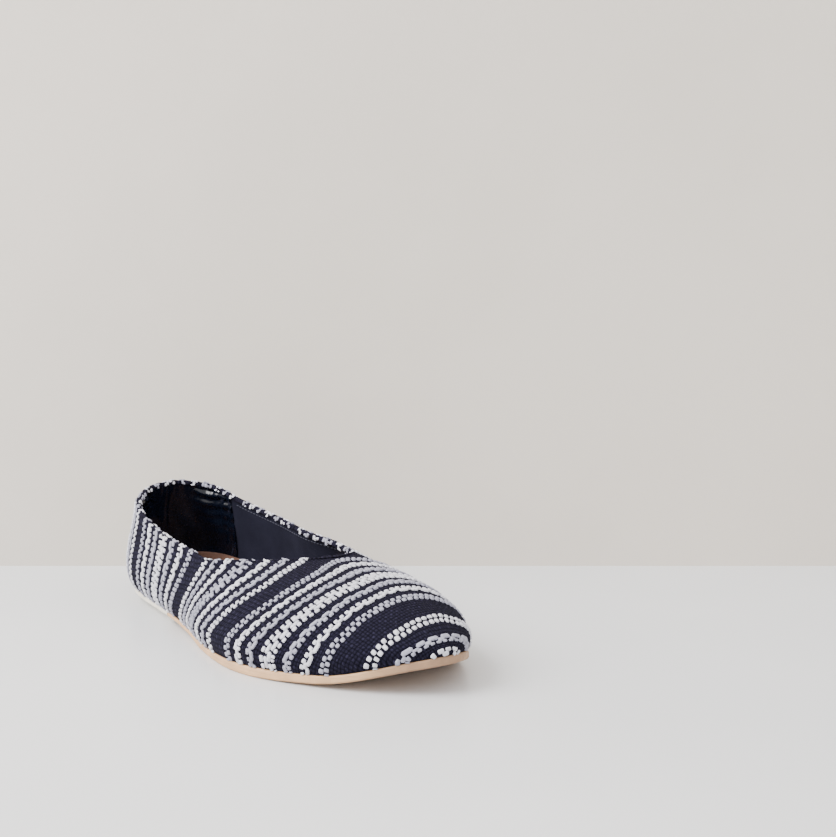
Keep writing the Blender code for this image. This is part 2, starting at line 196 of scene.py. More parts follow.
class Last:
    """The shoe's form, laid on ribs from the outline of the sole up to the centre line."""

    def __init__(self, per_side):
        dense = closed_spline(np.array(OUTLINE) * [LENGTH, BALL_WIDTH], 4000)
        dense = np.roll(dense, -int(np.argmin(dense[:, 0])), axis=0)
        toe = int(np.argmax(dense[:, 0]))
        even = np.linspace(0.0, 1.0, per_side + 1)
        shares = even - 0.045 * np.sin(4.0 * math.pi * even) / 2.0
        outer = resampled(dense[:toe + 1], shares)
        inner = resampled(np.vstack([dense[toe:], dense[:1]])[::-1], shares)
        middle = (outer[:, 0] + inner[:, 0]) / 2.0
        heel_fan = FAN_HEEL * LENGTH
        toe_fan = FAN_TOE * LENGTH
        front = np.clip((middle - toe_fan) / ((1.0 - FAN_TOE) * LENGTH), 0.0, 1.0)
        back = np.clip((heel_fan - middle) / heel_fan, 0.0, 1.0)
        along = np.clip(middle, heel_fan * (middle < heel_fan), toe_fan)
        along = np.where(front > 0.0, toe_fan + (1.0 - FAN_TOE) * LENGTH * (front - front**2 / 2.0), along)
        along = np.where(back > 0.0, heel_fan * (1.0 - back + back**2 / 2.0), along)
        spine = np.column_stack([along, SPINE_SWING * BALL_WIDTH * (along / LENGTH) ** 2])
        self.per_side = per_side
        self.feet = np.vstack([outer, inner[-2:0:-1]])
        self.ends = np.vstack([spine, spine[-2:0:-1]])
        self.ribs = len(self.feet)
        order = np.arange(self.ribs)
        self.opposite = (self.ribs - order) % self.ribs
        self.from_heel = np.minimum(order, self.opposite)
        self.inner_side = order > per_side
        reach = self.ends - self.feet
        self.inward = reach / np.linalg.norm(reach, axis=1)[:, None]
        tangent = np.roll(self.feet, -1, axis=0) - np.roll(self.feet, 1, axis=0)
        across = np.column_stack([-tangent[:, 1], tangent[:, 0]]) / np.linalg.norm(tangent, axis=1)[:, None]
        self.outward = -across * np.sign(np.sum(across * self.inward, axis=1))[:, None]
        girth = [distances(side) for side in (outer, inner)]
        self.from_seam = np.concatenate([girth[0], girth[1][-2:0:-1]])

    def wall(self, climb):
        """One point a rib for a climb of 0 at the feather edge to 1 at the centre line."""
        angle = climb * math.pi / 2.0
        across = np.cos(angle) ** (2.0 / ARCH_ACROSS)
        up = np.sin(angle) ** (2.0 / ARCH_UP)
        plan = self.ends + (self.feet - self.ends) * across[:, None]
        base = feather_height(plan[:, 0])
        rise = (curve(RIDGE, plan[:, 0] / LENGTH) * INSTEP - base) * up
        lift = rise / BULGE_HEIGHT
        swell = curve(BULGES, self.feet[:, 0] / LENGTH) * BULGE * lift * np.exp(1.0 - lift)
        swell = swell * np.minimum(1.0, across)
        plan = plan + self.outward * swell[:, None]
        return np.column_stack([plan, base + rise])

    def climb_at(self, rise):
        """Climb of every rib at a height over the feather edge."""
        room = curve(RIDGE, self.feet[:, 0] / LENGTH) * INSTEP - feather_height(self.feet[:, 0])
        return np.arcsin(np.clip(rise / room, 0.0, 1.0) ** (ARCH_UP / 2.0)) * 2.0 / math.pi

    def within_opening(self, points):
        """Above zero for points in the foot opening."""
        share = points[:, 0] / LENGTH
        top = np.where(self.inner_side, curve(TOPLINE, share, 2), curve(TOPLINE, share, 1)) * HEEL_TOP
        forward = np.clip((share - THROAT_START) / (THROAT_END - THROAT_START), 0.0, 1.0)
        half_width = np.where(self.inner_side, THROAT_INNER_WIDTH, THROAT_OUTER_WIDTH) * BALL_WIDTH
        half_width *= np.sqrt(1.0 - forward**THROAT_TAPER)
        side = np.abs(points[:, 1] - SPINE_SWING * BALL_WIDTH * share**2)
        over = points[:, 2] - top
        within = half_width - side
        return (over + within - np.sqrt((over - within) ** 2 + THROAT_ROUNDING**2)) / 2.0

    def climb_limits(self):
        """How far each rib climbs: to the topline if it meets the foot opening, else to the centre line."""
        samples = np.linspace(0.0, 1.0, 301)
        over = np.array([self.within_opening(self.wall(np.full(self.ribs, climb))) for climb in samples])
        limits = np.ones(self.ribs)
        for rib in range(self.ribs):
            above = np.nonzero(over[:, rib] > 0.0)[0]
            if len(above):
                first = above[0]
                below = over[first - 1, rib]
                share = below / (below - over[first, rib])
                limits[rib] = samples[first - 1] + (samples[1] - samples[0]) * share
        return limits


LAST = Last(240)
# From the heel tip's frame to the shoe's own, whose origin is the middle of its footprint
SHIFT = Vector(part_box("outsole")[1]).xy - Vector((LAST.feet + LAST.outward * SOLE_EDGE).max(axis=0))
SHIFT = np.array([SHIFT[0], SHIFT[1], 0.0])


def sheet_normals(rows):
    """Smooth unit normals of a sheet of rows, with points that coincide sharing one."""
    rows = np.array(rows)
    total = np.zeros_like(rows)
    near = rows[:-1]
    far = rows[1:]
    near_next = np.roll(near, -1, axis=1)
    far_next = np.roll(far, -1, axis=1)
    first = np.cross(near_next - near, far - near)
    second = np.cross(far - far_next, near_next - far_next)
    total[:-1] += first
    total[:-1] += np.roll(first + second, 1, axis=1)
    total[1:] += first + second
    total[1:] += np.roll(second, 1, axis=1)
    keys = np.round(rows.reshape(-1, 3) / 1e-7).astype(np.int64)
    _, shared = np.unique(keys, axis=0, return_inverse=True)
    shared = shared.reshape(-1)
    merged = np.zeros((shared.max() + 1, 3))
    np.add.at(merged, shared, total.reshape(-1, 3))
    merged /= np.linalg.norm(merged, axis=1)[:, None]
    return merged[shared].reshape(rows.shape)


def angle_round(points):
    """Angle of points round the foot, from the outer side over the top."""
    centre = SPINE_SWING * BALL_WIDTH * (np.clip(points[..., 0], 0.0, LENGTH) / LENGTH) ** 2
    return np.arctan2(points[..., 2] + AXIS_DEPTH, centre - points[..., 1])


def in_cloth(points):
    """Place in the cloth, in mm from the toe, of points on the shoe."""
    x = points[..., 0]
    angle = np.degrees(angle_round(points))
    round_heel = LAST.from_seam - 0.0155
    share = smooth_step(x, 0.045, 0.080)
    toe_drop = smooth_step(x, 0.235, 0.250) * (0.020 - points[..., 2]) * 0.5
    forward = ((x + toe_drop) * share + round_heel * (1.0 - share)) * 1000.0
    places = np.array([row[0] for row in CHART])
    chart = [tuple(zip(CHART_ANGLES, row[1:])) for row in CHART]
    at_angle = np.array([curve(row, angle.ravel()) for row in chart])
    flat = forward.ravel()
    result = np.empty(len(flat))
    for k in range(len(flat)):
        result[k] = np.interp(-flat[k], -at_angle[:, k], places)
    result = result.reshape(x.shape)
    sway = np.sin(angle * 0.13 + result * 0.071) + 0.7 * np.sin(angle * 0.31 - result * 0.113 + 2.0)
    return result + 0.22 * sway


def deselect():
    bpy.ops.object.select_all(action="DESELECT")


def alone(obj):
    """Selects one object and makes it the active one."""
    deselect()
    obj.select_set(True)
    bpy.context.view_layer.objects.active = obj


def edit_all(obj, operator, **settings):
    """Runs a mesh operator on all of one object."""
    alone(obj)
    bpy.ops.object.mode_set(mode="EDIT")
    bpy.ops.mesh.select_all(action="SELECT")
    operator(**settings)
    bpy.ops.object.mode_set(mode="OBJECT")


def apply_modifier(obj, kind, name, **settings):
    alone(obj)
    modifier = obj.modifiers.new(name, kind)
    for key, value in settings.items():
        setattr(modifier, key, value)
    bpy.ops.object.modifier_apply(modifier=modifier.name)


def grid_piece(name, rows, looped_across=True, cloth=None):
    """A grid primitive laid over rows of points, welded where it meets itself.

    rows is an array of rows, points, 3. cloth gives two more numbers a point, kept as the piece's UV map."""
    rows = np.asarray(rows)
    if looped_across:
        rows = np.concatenate([rows, rows[:, :1]], axis=1)
        if cloth is not None:
            cloth = np.concatenate([cloth, cloth[:, :1]], axis=1)
    tall, wide = rows.shape[:2]
    deselect()
    bpy.ops.mesh.primitive_grid_add(x_subdivisions=wide - 1, y_subdivisions=tall - 1, size=1.0, calc_uvs=True)
    obj = bpy.context.active_object
    obj.name = name
    obj.data.name = name
    mesh = obj.data
    flat = (rows + SHIFT).reshape(-1, 3)
    mesh.vertices.foreach_set("co", flat.astype(np.float32).ravel())
    if cloth is not None:
        corners = np.zeros(len(mesh.loops), np.int32)
        mesh.loops.foreach_get("vertex_index", corners)
        mesh.uv_layers[0].name = "cloth"
        mesh.uv_layers[0].data.foreach_set("uv", cloth.reshape(-1, 2)[corners].astype(np.float32).ravel())
    mesh.update()
    edit_all(obj, bpy.ops.mesh.remove_doubles, threshold=1e-6)
    return obj


def face_out(obj, away_from):
    """Turns the piece's faces outward, judged by its face farthest from the given point."""
    mesh = obj.data
    centres = np.zeros(len(mesh.polygons) * 3, np.float32)
    mesh.polygons.foreach_get("center", centres)
    centres = centres.reshape(-1, 3)
    far = int(np.argmax(np.linalg.norm(centres - np.array(away_from), axis=1)))
    outward = Vector(centres[far]) - Vector(away_from)
    if mesh.polygons[far].normal.dot(outward) < 0.0:
        edit_all(obj, bpy.ops.mesh.flip_normals)


class Value:
    """One output in a material. The operators of Python add Math nodes behind it."""

    def __init__(self, finish, socket):
        self.finish = finish
        self.socket = socket

    def math(self, operation, *others):
        return self.finish.node("ShaderNodeMath", {"operation": operation}, (self, *others))

    def __add__(self, other):
        return self.math("ADD", other)

    def __sub__(self, other):
        return self.math("SUBTRACT", other)

    def __rsub__(self, other):
        return self.finish.node("ShaderNodeMath", {"operation": "SUBTRACT"}, (other, self))

    def __mul__(self, other):
        return self.math("MULTIPLY", other)

    def __pow__(self, other):
        return self.math("POWER", other)

    __radd__ = __add__
    __rmul__ = __mul__

    def between(self, low, high, to_low=0.0, to_high=1.0):
        """Smooth step from to_low at low to to_high at high."""
        settings = {"interpolation_type": "SMOOTHSTEP"}
        return self.finish.node("ShaderNodeMapRange", settings, (self, low, high, to_low, to_high))


class Finish:
    """A material and the one way its nodes are added."""

    def __init__(self, name, **constants):
        self.material = bpy.data.materials.new(name)
        self.material.use_nodes = True
        self.tree = self.material.node_tree
        self.shader = self.tree.nodes["Principled BSDF"]
        for key, value in constants.items():
            self.shader.inputs[key.replace("_", " ")].default_value = value

    def node(self, kind, settings=None, values=(), output=0, **named):
        """Adds a node: its settings first, then its sockets by order, by number or by name."""
        node = self.tree.nodes.new(kind)
        for key, value in (settings or {}).items():
            setattr(node, key, value)
        numbered = values if isinstance(values, dict) else dict(enumerate(values))
        pairs = [(node.inputs[number], value) for number, value in numbered.items()]
        pairs += [(node.inputs[key.replace("_", " ")], value) for key, value in named.items()]
        for socket, value in pairs:
            self.feed(socket, value)
        return Value(self, node.outputs[output])

    def feed(self, socket, value):
        if isinstance(value, Value):
            self.tree.links.new(value.socket, socket)
        elif value is not None:
            if isinstance(value, tuple) and len(value) == 3 and socket.type == "RGBA":
                value = (*value, 1.0)
            socket.default_value = value

    def place(self):
        """The object's own coordinates, in metres."""
        return self.node("ShaderNodeTexCoord", output=3)

    def parts(self, vector):
        """The three numbers of a vector."""
        node = self.node("ShaderNodeSeparateXYZ", values=(vector,)).socket.node
        return tuple(Value(self, socket) for socket in node.outputs)

    def noise(self, vector, scale, detail=3.0, rough=0.5):
        return self.node("ShaderNodeTexNoise", Vector=vector, Scale=scale, Detail=detail, Roughness=rough)

    def streaks(self, vector, scales, rough):
        """Noise drawn out along an axis, by a scale for each."""
        stretched = self.node("ShaderNodeMapping", Vector=vector, Scale=scales)
        return self.noise(stretched, 1.0, 3.0, rough)

    def bands(self, scale, distortion=0.0):
        """Slanting bands, finer for a greater scale."""
        settings = {"bands_direction": "DIAGONAL"}
        values = {"Vector": self.place(), "Scale": scale, "Distortion": distortion}
        return self.node("ShaderNodeTexWave", settings, **values)

    def mix(self, share, first, second):
        """One colour into another by a share."""
        return self.node("ShaderNodeMix", {"data_type": "RGBA"}, {0: share, 6: first, 7: second}, output=2)

    def bump(self, height, distance, strength):
        return self.node("ShaderNodeBump", Strength=strength, Distance=distance, Height=height)

    def done(self, colour=None, roughness=None, normal=None):
        for key, value in (("Base Color", colour), ("Roughness", roughness), ("Normal", normal)):
            if value is not None:
                self.feed(self.shader.inputs[key], value)
        return self.material


def shaded(colour, share):
    return tuple(min(1.0, value * share) for value in colour)


def dress(obj, material):
    obj.data.materials.clear()
    obj.data.materials.append(material)


def finish_piece(obj, material, smooth=60.0):
    """Material, smooth shading and the shoe's body for a piece that is in place."""
    dress(obj, material)
    alone(obj)
    bpy.ops.object.shade_smooth_by_angle(angle=math.radians(smooth))
    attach(obj, "root")
    return obj


# The three kinds of setting


def metres(name, description, default):
    return bpy.props.FloatProperty(name=name, description=description, default=default, unit="LENGTH")


def amount(name, description, default, **more):
    return bpy.props.FloatProperty(name=name, description=description, default=default, **more)


def tint(name, description, default):
    return bpy.props.FloatVectorProperty(
        name=name, description=description, default=default, subtype="COLOR", size=3)


class FlatSizes(bpy.types.PropertyGroup):
    """Sizes and colours of the dressing that a user would change."""

    cloth_thickness: metres("Cloth thickness", "Thickness of the woven outer cloth", 0.0008)
    rim_radius: metres("Topline radius", "Radius of the cloth rolled over the topline", 0.0014)
    turn_in: metres("Turn-in", "How far the cloth runs down inside the topline", 0.0020)
    gather: metres("Gathers", "Depth of the small gathers under the topline at the heel", 0.0003)
    pitch: metres("Stitch pitch", "Distance from stitch to stitch along a stripe", 0.0028)
    row_width: metres("Row width", "Width of one row of thick yarn", 0.0019)
    stitch_height: metres("Stitch height", "How far a stitch stands out of the ground", 0.00055)
    unevenness: amount(
        "Unevenness", "Share by which stitches differ in length and width", 0.14, min=0.0, max=0.3,
        subtype="FACTOR")
    pocket_length: metres("Heel pocket", "How far forward the smooth heel lining reaches", 0.033)
    heel_cup: metres("Heel cup", "How far the insole's sock rises at the wall round the heel", 0.0050)
    ground_colour: tint("Ground", "Navy of the cloth's ground", (0.0112, 0.0103, 0.0200))
    white_colour: tint("White yarn", "White of the thick yarn", (0.91, 0.91, 1.0))
    grey_colour: tint("Grey yarn", "Grey of the thick yarn", (0.475, 0.475, 0.58))
    sole_colour: tint("Sole", "Tan of the sole's edge", (0.505, 0.312, 0.172))
    heel_colour: tint("Heel", "Cream of the heel", (0.70, 0.65, 0.56))
    insole_colour: tint("Insole", "Brown of the insole", (0.122, 0.055, 0.034))


class StageSizes(bpy.types.PropertyGroup):
    """Camera and light."""

    eye: bpy.props.FloatVectorProperty(
        name="Eye", description="Where the camera stands, from the heel tip", subtype="TRANSLATION", size=3,
        default=(0.58439, -0.26015, 0.13264))
    turn: amount("Turn", "Camera's direction round the shoe", math.radians(53.469), subtype="ANGLE")
    height_angle: amount(
        "Height angle", "Camera's angle above the floor", math.radians(3.891), subtype="ANGLE")
    lens: amount("Lens", "Focal length in mm on a 36 mm wide frame", 49.62, unit="CAMERA")
    wall_distance: metres("Wall distance", "From the camera to the wall along the floor", 0.671)
    window_power: amount("Window", "Power of the large soft light in watts", 86.5, unit="POWER")
    fill_strength: amount("Fill", "Strength of the even light all round", 2.13)


# Half of the solid shell's wall: the roll of the topline is centred in it, a little below its edge
HALF_SHELL = 0.0009
ROLL_DROP = 0.0008
# Angles in degrees of the rows over the roll. Stripes run on over all but the last of them.
ROLL_TURNS = range(20, 181, 20)
# How far below the edge the wall swells out to the roll
SWELL_DEPTH = 0.0050
# How far above the feather edge the lining sheets end
LINING_END = 0.0030


class Upper:
    """Rows of points of the outer cloth: up the wall, over the rolled topline and down inside."""

    def __init__(self, sizes):
        limits = LAST.climb_limits()
        half = np.arange(LAST.per_side + 1)
        open_rib = limits < 1.0
        throat = int(np.nonzero(open_rib[half] | open_rib[LAST.opposite[half]])[0][-1]) + 1
        self.throat = throat
        self.closed = LAST.from_heel >= throat
        at_rim = LAST.from_heel <= throat
        limits = np.where(self.closed, 1.0, limits)
        low = [LAST.climb_at(height) for height in (0.0, 0.0007, 0.0016, 0.0028, 0.0042)]
        steps = np.linspace(0.0, 1.0, 49)[1:]
        climbs = low + [low[-1] + (limits - low[-1]) * share for share in steps]
        face = np.array([LAST.wall(climb) for climb in climbs])
        normals = sheet_normals(face)
        lengths = np.linalg.norm(np.diff(face, axis=0), axis=2)
        from_top = np.concatenate([np.cumsum(lengths[::-1], axis=0)[::-1], np.zeros((1, LAST.ribs))])
        girth = np.where(LAST.inner_side, -LAST.from_seam, LAST.from_seam)
        gather = np.sin(girth * 1050.0 + 0.9 * np.sin(girth * 230.0))
        gather = gather * (1.0 - smooth_step(LAST.from_seam, 0.028, 0.055))
        gather = gather * sizes.gather * (1.0 - smooth_step(from_top, 0.0015, 0.013))
        seam = np.where(LAST.from_seam < 0.0006, -1.0, np.where(LAST.from_seam < 0.0032, 0.35, 0.0)) * 0.0004
        face = face + normals * (gather + seam)[..., None]
        near_top = 1.0 - smooth_step(from_top, 0.0, SWELL_DEPTH)
        swollen = near_top * (at_rim & ~self.closed)[None, :]
        swollen[:, throat] = near_top[:, throat]
        swollen[:, LAST.opposite[throat]] = swollen[:, throat]
        self.sheet = np.concatenate([face, normals], axis=2)
        self.from_top = from_top
        self.outer = face + normals * (swollen * (sizes.rim_radius - HALF_SHELL))[..., None]
        edge = face[-1]
        loop = [rib for rib in range(LAST.ribs) if not self.closed[rib] or rib == throat]
        tangent = np.zeros((LAST.ribs, 3))
        ring = edge[loop]
        tangent[loop] = np.roll(ring, -1, axis=0) - np.roll(ring, 1, axis=0)
        upward = np.cross(normals[-1], tangent)
        upward /= np.maximum(np.linalg.norm(upward, axis=1), 1e-12)[:, None]
        upward[LAST.opposite[throat]] = upward[throat]
        middle = edge - normals[-1] * HALF_SHELL - upward * ROLL_DROP
        over_top = []
        for angle in np.radians(ROLL_TURNS):
            bead = (normals[-1] * math.cos(angle) + upward * math.sin(angle)) * sizes.rim_radius
            over_top.append(np.where(at_rim[:, None], middle + bead, self.outer[-1]))
        down = []
        for depth in (0.0006, 0.0013, sizes.turn_in):
            points, slopes = self.down_from_top(np.full(LAST.ribs, depth))
            slopes /= np.linalg.norm(slopes, axis=1)[:, None]
            inside = points - slopes * (HALF_SHELL + sizes.rim_radius - 0.0006 * min(1.0, depth / 0.002))
            down.append(np.where(at_rim[:, None], inside, self.outer[-1]))
        self.rows = np.concatenate([self.outer, np.array(over_top), np.array(down)])

    def down_from_top(self, depth):
        """Face points and normals of every rib at its own depth below the topline."""
        found = np.empty((LAST.ribs, 6))
        for rib in range(LAST.ribs):
            span = self.from_top[::-1, rib]
            for column in range(6):
                found[rib, column] = np.interp(depth[rib], span, self.sheet[::-1, rib, column])
        return found[:, :3], found[:, 3:]

    def inside(self, offset, start, rows):
        """Rows of points of a sheet inside the upper, from a depth below the topline to the insole."""
        whole = self.from_top[0]
        result = []
        for share in np.linspace(0.0, 1.0, rows):
            depth = np.where(self.closed, 0.0, start) * (1.0 - share) + share * (whole - LINING_END)
            points, normals = self.down_from_top(depth)
            result.append(points - normals * offset)
        return np.array(result)


# The sock: gap to the wall, thickness at the toe, more at the heel, and its rows from the middle to the
# brim and back below: share of the way out, share of the lift, whether on top
SOCK_GAP = 0.0028
SOCK_THICKNESS = 0.0006
SOCK_PAD = 0.0024
SOCK_ROWS = (
    (0.0, 0.0, True), (0.35, 0.0, True), (0.62, 0.02, True), (0.80, 0.10, True), (0.90, 0.30, True),
    (0.96, 0.62, True), (0.99, 0.90, True), (1.0, 1.0, True), (0.992, 0.95, False), (0.975, 0.80, False),
    (0.95, 0.10, False), (0.90, 0.0, False), (0.50, 0.0, False), (0.0, 0.0, False),
)


def sock_rows(sizes):
    """Rows of the padded sock on the insole, cupped up against the wall round the heel."""
    x = LAST.feet[:, 0]
    cup = sizes.heel_cup * (1.0 - smooth_step(x, 0.045, 0.125)) + 0.0012
    edge = LAST.wall(LAST.climb_at(0.0035 + cup))
    edge = edge - np.column_stack([LAST.outward, np.zeros(LAST.ribs)]) * SOCK_GAP
    rows = []
    for share, lift, top in SOCK_ROWS:
        plan = LAST.ends + (edge[:, :2] - LAST.ends) * share
        pad = SOCK_THICKNESS + SOCK_PAD * (1.0 - smooth_step(plan[:, 0], 0.060, 0.110))
        floor = feather_height(plan[:, 0]) + INSOLE_TOP + (pad if top else 0.0)
        brim = edge[:, 2] - (0.0 if top else 0.0008)
        rows.append(np.column_stack([plan, floor + (brim - floor) * lift]))
    return np.array(rows[::-1])


# Stripes of thick yarn across the cloth: place of the middle in mm from that of the group, kind, yarn.
# An arcs_toe stripe has its long stitches on the toe side, an arcs_heel stripe on the heel side.
GROUP = (
    (-24.05, "checks", 0), (-16.8, "arcs_toe", 1), (-9.1, "arcs_heel", 2), (0.0, "thick", 3),
    (9.1, "arcs_toe", 2), (16.8, "arcs_heel", 1), (24.05, "checks", 0),
)
# The first group's middle in mm from the toe, the step to the next, their number, and the foremost
# place of a stripe that is kept
FIRST_GROUP = -9.1
GROUP_STEP = 62.1
GROUPS = 5
FOREMOST = -2.0
# Colours of the yarns, which change places from group to group
GROUP_YARNS = (("grey", "white", "grey", "white"), ("white", "grey", "white", "grey"))


class Contours:
    """Finds the lines of one place in the cloth on the upper."""

    def __init__(self, upper):
        rows = upper.rows
        outer = len(upper.outer)
        place = in_cloth(upper.outer)
        place = np.concatenate([place, np.repeat(place[-1:], len(rows) - outer, axis=0)])
        normals = sheet_normals(rows)
        climbed = np.cumsum(np.linalg.norm(np.diff(rows, axis=0), axis=2), axis=0)
        height = np.concatenate([np.zeros((1, LAST.ribs)), climbed])
        round_foot = np.roll(rows, -1, axis=1) - np.roll(rows, 1, axis=1)
        up_foot = np.gradient(rows, axis=0)
        place_round = np.roll(place, -1, axis=1) - np.roll(place, 1, axis=1)
        place_up = np.gradient(place, axis=0)
        e = np.sum(round_foot**2, axis=2)
        f = np.sum(round_foot * up_foot, axis=2)
        g = np.sum(up_foot**2, axis=2)
        slope = g * place_round**2 - 2.0 * f * place_round * place_up + e * place_up**2
        slope = slope / np.maximum(e * g - f * f, 1e-18)
        give = np.clip(1000.0 / np.sqrt(np.maximum(slope, 1.0)), 0.62, 1.20)
        seam = np.broadcast_to(LAST.from_seam, place.shape)
        data = np.concatenate([rows, normals, (seam + height)[..., None], give[..., None]], axis=2)
        half = LAST.per_side + 1
        last_row = np.where(upper.closed, outer - 1, outer + len(ROLL_TURNS) - 1)
        inner = np.concatenate([[0], np.arange(LAST.ribs - 1, LAST.per_side - 1, -1)])
        orders = (np.arange(half), inner)
        self.sides = [(place[:, order], data[:, order], last_row[order]) for order in orders]
        self.throat_place = place[outer - 1, upper.throat]

    def line(self, side, level):
        """Ordered points with normals on one side of the shoe."""
        place, data, last_row = self.sides[side]
        valid = np.arange(len(place))[:, None] <= last_row[None, :]
        over = place > level
        tall, wide = place.shape
        found = []
        for up, round_foot in ((0, 1), (1, 0)):
            near = (slice(0, tall - up), slice(0, wide - round_foot))
            far = (slice(up, tall), slice(round_foot, wide))
            k, i = np.nonzero((over[far] != over[near]) & valid[far] & valid[near])
            start = place[k, i]
            t = ((level - start) / (place[k + up, i + round_foot] - start))[:, None]
            found.append(data[k, i] * (1.0 - t) + data[k + up, i + round_foot] * t)
        points = np.concatenate(found)
        return points[np.argsort(points[:, 6])]

    def rows(self, middle, level):
        """Lines at a level, measured along the stripe's middle, so that the rows of a stripe keep step."""
        result = []
        for (points, along), (guide, measure) in zip(self.lines(level), self.lines(middle)):
            ahead = np.gradient(guide[:, :3], axis=0)
            ahead /= np.linalg.norm(ahead, axis=1)[:, None]
            nearest = np.argmin(((points[:, None, :3] - guide[None, :, :3]) ** 2).sum(axis=2), axis=1)
            beyond = np.sum((points[:, :3] - guide[nearest, :3]) * ahead[nearest], axis=1)
            along = measure[nearest] + beyond + np.arange(len(points)) * 1e-8
            result.append((points, np.maximum.accumulate(along)))
        return result

    def lines(self, level):
        """Lines at a place in the cloth, each with distances along it, from the middle of the vamp."""
        sides = [self.line(side, level) for side in (0, 1)]
        if level < self.throat_place - 1.0:
            if min(len(side) for side in sides) < 2:
                return []
            joined = [np.concatenate([sides[0], sides[1][::-1]])]
            starts = [len(sides[0])]
        else:
            joined = sides
            starts = [0, 0]
        result = []
        for points, start in zip(joined, starts):
            if len(points) < 4:
                continue
            along = distances(points[:, :3])
            keep = np.concatenate([[True], np.diff(along) > 2e-6])
            along -= along[min(start, len(along) - 1)]
            result.append((points[keep], along[keep]))
        return result


def stitch_form():
    """One stitch of thick yarn: a soft square pillow two units long, wide and high, modelled once."""
    deselect()
    bpy.ops.mesh.primitive_cube_add(size=2.0)
    obj = bpy.context.active_object
    edit_all(obj, bpy.ops.mesh.bevel, offset=0.33, segments=1, affect="EDGES")
    points = np.array([tuple(vertex.co) for vertex in obj.data.vertices])
    faces = [tuple(face.vertices) for face in obj.data.polygons]
    bpy.data.objects.remove(obj)
    return points, faces


# How far a stitch's middle stands off the cloth, and how far its direction is felt along the line
STITCH_SEAT = 0.00008
TANGENT_REACH = 0.0005


class Stitches:
    """Gathers the stitches of one yarn and joins them in one mesh."""

    def __init__(self, form):
        self.points, self.faces = form
        self.placed = []
        self.marks = []

    def lay(self, line, along, centres, lengths, widths, heights, aside, chance, bow=0.0):
        """Lays a stitch at each of the centres, which are distances along the line."""
        count = len(centres)
        if not count:
            return
        local = self.points
        where = centres[:, None] + local[None, :, 0] * lengths[:, None] / 2.0
        where = np.clip(where, along[0], along[-1])
        flat = where.ravel()

        def at(spots, first=0):
            return np.stack([np.interp(spots, along, line[:, first + axis]) for axis in range(3)], axis=1)

        place = at(flat)
        normal = at(flat, 3)
        normal /= np.linalg.norm(normal, axis=1)[:, None]
        tangent = at(flat + TANGENT_REACH) - at(flat - TANGENT_REACH)
        tangent /= np.maximum(np.linalg.norm(tangent, axis=1), 1e-9)[:, None]
        across = np.cross(normal, tangent)
        across /= np.maximum(np.linalg.norm(across, axis=1), 1e-9)[:, None]
        give = np.interp(centres, along, line[:, 7])
        b = local[None, :, 1] * (widths * give)[:, None] / 2.0 + aside[:, None] + bow * local[None, :, 0] ** 2
        n = local[None, :, 2] * heights[:, None] + STITCH_SEAT
        points = place + across * b.ravel()[:, None] + normal * n.ravel()[:, None]
        self.placed.append(points.reshape(count, -1, 3))
        self.marks.append(np.stack([where + chance[:, None], b + chance[:, None] * 3.0], axis=2))

    def piece(self, name):
        points = np.concatenate(self.placed) + SHIFT
        marks = np.concatenate(self.marks).reshape(-1, 2)
        count, per = points.shape[:2]
        faces = []
        for k in range(count):
            faces += [tuple(index + k * per for index in face) for face in self.faces]
        mesh = bpy.data.meshes.new(name)
        mesh.from_pydata(points.reshape(-1, 3).tolist(), [], faces)
        layer = mesh.uv_layers.new(name="yarn")
        corners = np.zeros(len(mesh.loops), np.int32)
        mesh.loops.foreach_get("vertex_index", corners)
        layer.data.foreach_set("uv", marks[corners].astype(np.float32).ravel())
        mesh.update()
        obj = bpy.data.objects.new(name, mesh)
        bpy.context.scene.collection.objects.link(obj)
        return obj


def seam_stitches(name, lines, material, length, step, width):
    """Rows of small sewing stitches on lines of points with normals."""
    stitches = Stitches(stitch_form())
    for points, normals in lines:
        line = np.column_stack([points, normals, np.zeros(len(points)), np.ones(len(points))])
        along = distances(points)
        centres = np.arange(step / 2.0, along[-1] - step / 3.0, step)
        some = np.ones(len(centres))
        spans = (some * length, some * width, some * width * 0.4)
        stitches.lay(line, along, centres, *spans, aside=some * 0.0, chance=some * 0.0)
    return finish_piece(stitches.piece(name), material, 80.0)


def weave_rows(kind, sizes):
    """Rows of stitches of a stripe.

    Each row: aside in mm, period and first stitch in pitches, length in pitches, width in mm, bow in mm."""
    width = sizes.row_width * 1000.0
    square = 0.62
    narrow = 0.84 * width
    if kind == "checks":
        return (
            (-0.50 * width, 1.0, 0.0, square, narrow, 0.0), (0.50 * width, 1.0, 0.5, square, narrow, 0.0),
        )
    if kind == "thick":
        return (
            (-1.50 * width, 1.0, 0.0, square, narrow, 0.0), (1.50 * width, 1.0, 0.0, square, narrow, 0.0),
            (-0.50 * width, 2.0, 0.5, 1.62, narrow, 0.0), (0.50 * width, 2.0, 1.5, 1.62, narrow, 0.0),
        )
    toe = -1.0 if kind == "arcs_toe" else 1.0
    return (
        (-0.62 * toe * width, 1.0, 0.0, square, narrow, 0.0),
        (0.62 * toe * width, 2.0, 0.5, 1.50, width * 0.82, -0.40 * toe),
        (0.0, 2.0, 1.5, 0.95, width * 0.72, 0.0),
    )


